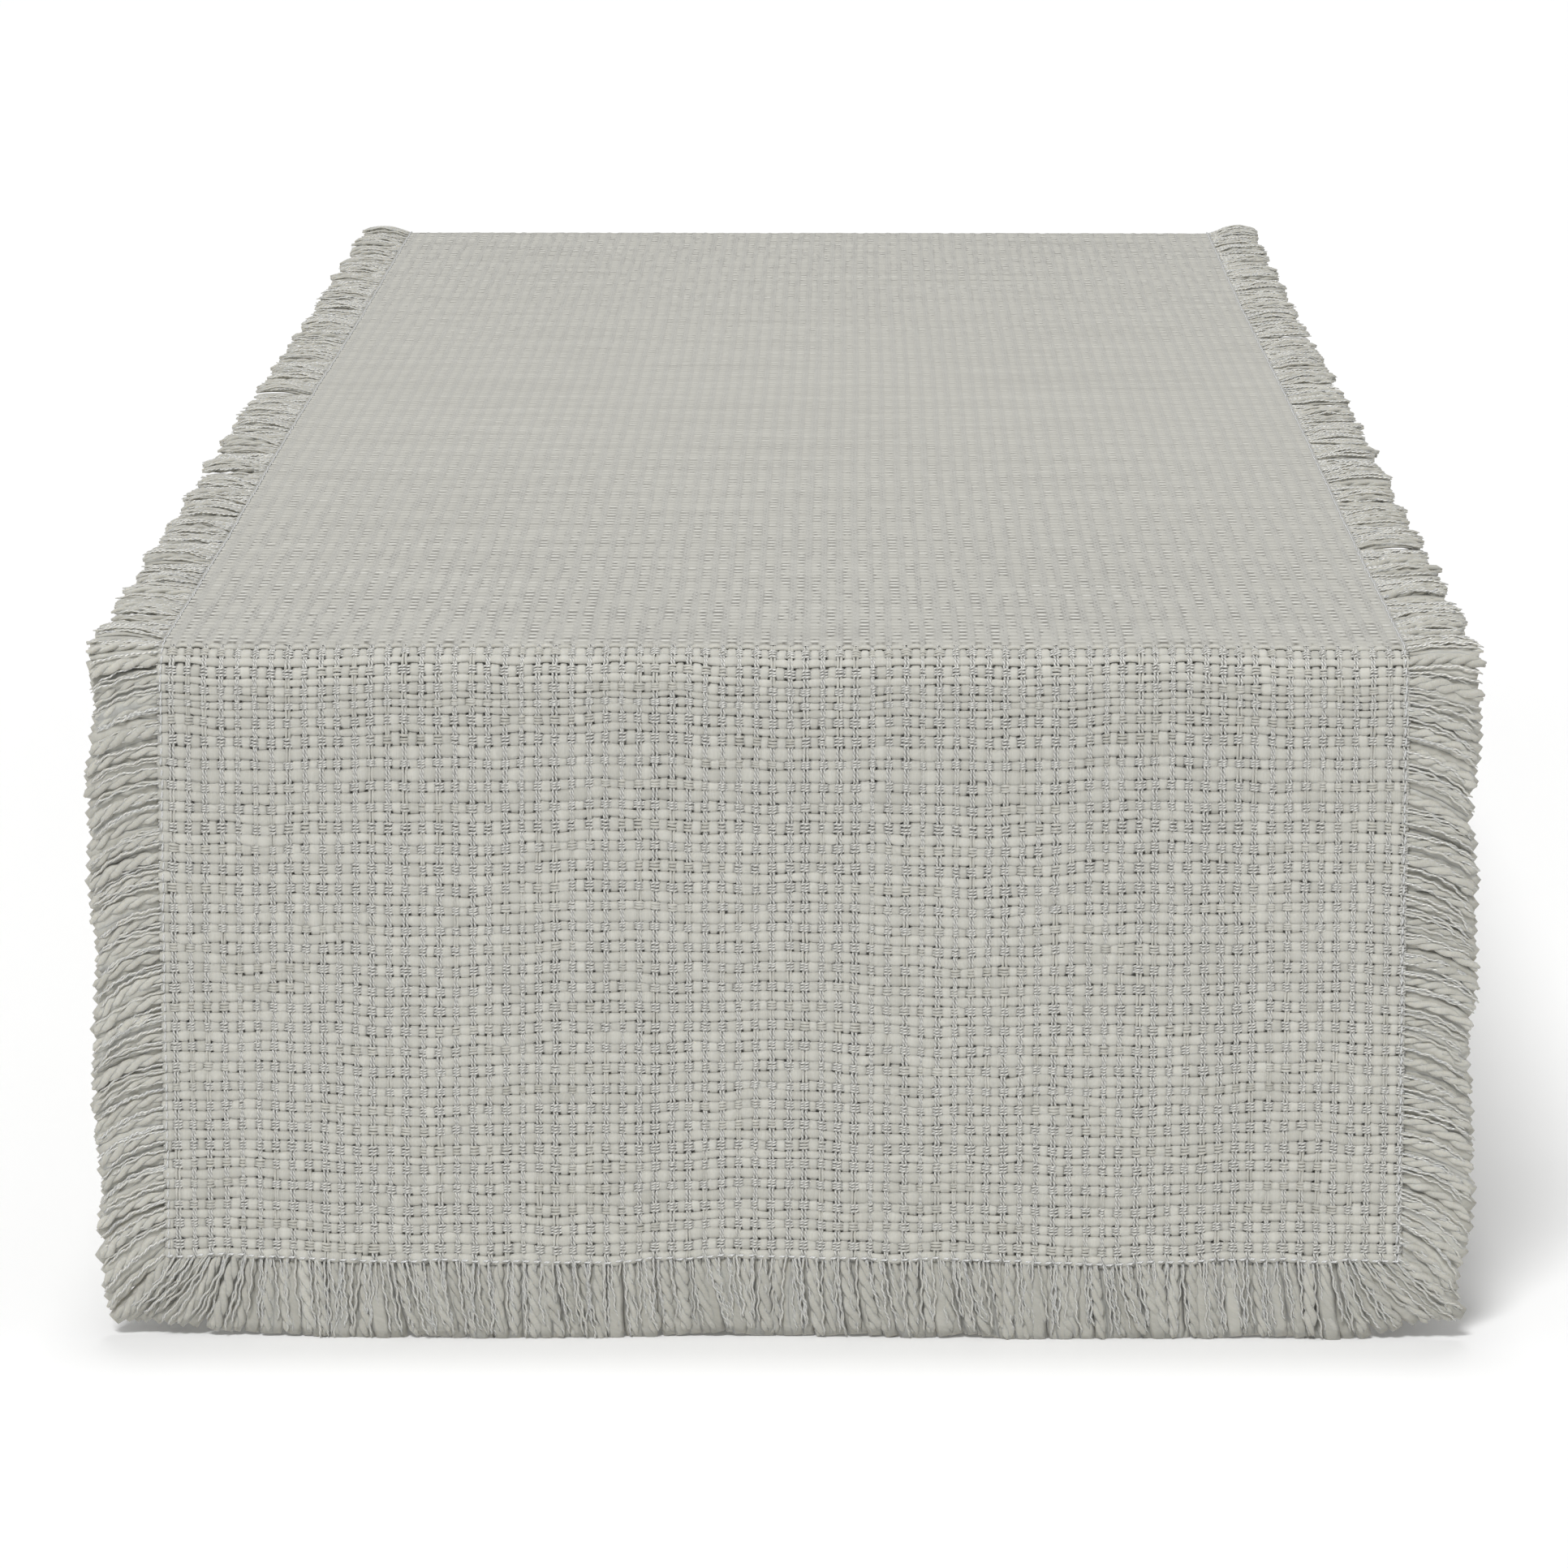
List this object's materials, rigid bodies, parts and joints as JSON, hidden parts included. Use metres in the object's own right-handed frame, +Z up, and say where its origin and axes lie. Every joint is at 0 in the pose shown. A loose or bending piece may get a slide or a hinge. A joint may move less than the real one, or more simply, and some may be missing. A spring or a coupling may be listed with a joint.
{
  "type": "table runner",
  "caption": "Woven cotton table runner with an eyelash fringe on every edge, lying along a table and hanging over both of its ends.",
  "frame": {"origin": "middle of the top panel's underside, where the cloth rests on the table", "axes": "+X across the runner to the right, +Y along it towards its back end, +Z up out of the table top"},
  "size_m": [0.356, 1.0232, 0.1821],
  "materials": {
    "cotton_cloth": "light warm grey plain weave of thick and thin slub cotton with fine silvery threads, soft and matt",
    "fringe_yarn": "loose two-ply cotton yarn ends with fine silvery strands between them",
    "stitch_thread": "bright silver-white sewing thread with a slight metallic lustre"
  },
  "bodies": {
    "top": {"top_cloth": "cotton_cloth", "left_top_fringe": "fringe_yarn", "right_top_fringe": "fringe_yarn", "left_top_stitch": "stitch_thread", "right_top_stitch": "stitch_thread"},
    "front_drop": {"front_drop_cloth": "cotton_cloth", "left_front_drop_fringe": "fringe_yarn", "right_front_drop_fringe": "fringe_yarn", "left_front_drop_stitch": "stitch_thread", "right_front_drop_stitch": "stitch_thread", "front_hem_stitch": "stitch_thread", "front_bend_cloth": "cotton_cloth", "left_front_bend_fringe": "fringe_yarn", "right_front_bend_fringe": "fringe_yarn", "left_front_bend_stitch": "stitch_thread", "right_front_bend_stitch": "stitch_thread"},
    "back_drop": {"back_drop_cloth": "cotton_cloth", "left_back_drop_fringe": "fringe_yarn", "right_back_drop_fringe": "fringe_yarn", "left_back_drop_stitch": "stitch_thread", "right_back_drop_stitch": "stitch_thread", "back_hem_stitch": "stitch_thread", "back_bend_cloth": "cotton_cloth", "left_back_bend_fringe": "fringe_yarn", "right_back_bend_fringe": "fringe_yarn", "left_back_bend_stitch": "stitch_thread", "right_back_bend_stitch": "stitch_thread"},
    "front_fringe": {"front_hem_fringe": "fringe_yarn"},
    "back_fringe": {"back_hem_fringe": "fringe_yarn"}
  },
  "joints": [
    {"name": "front_drop_lift", "type": "hinge", "parent": "top", "child": "front_drop", "pos_m": [0, -0.50726, -0.00073], "axis": [-1, 0, 0], "range_deg": [0, 90], "deforming": ["front_bend_cloth", "left_front_bend_fringe", "right_front_bend_fringe", "left_front_bend_stitch", "right_front_bend_stitch"]},
    {"name": "back_drop_lift", "type": "hinge", "parent": "top", "child": "back_drop", "pos_m": [0, 0.50726, -0.00073], "axis": [1, 0, 0], "range_deg": [0, 90], "deforming": ["back_bend_cloth", "left_back_bend_fringe", "right_back_bend_fringe", "left_back_bend_stitch", "right_back_bend_stitch"]},
    {"name": "front_fringe_swing", "type": "hinge", "parent": "front_drop", "child": "front_fringe", "pos_m": [0, -0.50925, -0.1604], "axis": [-1, 0, 0], "range_deg": [-40, 80]},
    {"name": "back_fringe_swing", "type": "hinge", "parent": "back_drop", "child": "back_fringe", "pos_m": [0, 0.50925, -0.1604], "axis": [1, 0, 0], "range_deg": [-40, 80]}
  ]
}
